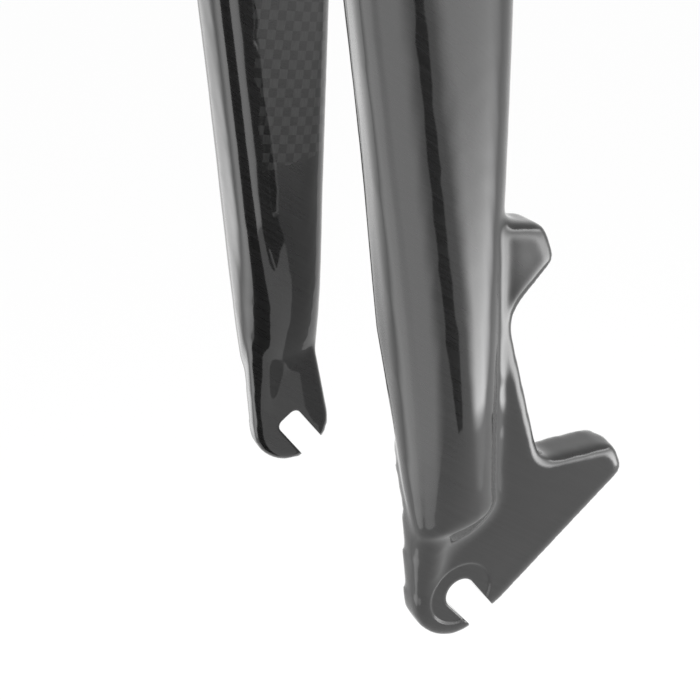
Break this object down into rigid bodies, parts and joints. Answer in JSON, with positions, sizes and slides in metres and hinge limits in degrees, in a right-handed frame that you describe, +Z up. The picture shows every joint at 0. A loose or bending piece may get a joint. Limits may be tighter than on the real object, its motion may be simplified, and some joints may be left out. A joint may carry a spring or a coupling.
{
  "type": "rigid bicycle fork",
  "caption": "Rigid moulded carbon bicycle fork with straight tapering blades, open dropouts, a post-mount disc-brake bracket on the left leg and a straight steerer.",
  "frame": {"origin": "centre of the crown race seat, on the steerer axis", "axes": "+Z up the steerer, +X forward, +Y to the rider's left"},
  "size_m": [0.0767, 0.1273, 0.7139],
  "materials": {
    "carbon": "gloss clear coat over carbon weave",
    "steerer_alloy": "fine turned satin",
    "insert_metal": "machined"
  },
  "bodies": {
    "root": {"fork_body": "carbon", "steerer_tube": "steerer_alloy", "upper_caliper_insert": "insert_metal", "lower_caliper_insert": "insert_metal"}
  },
  "joints": []
}
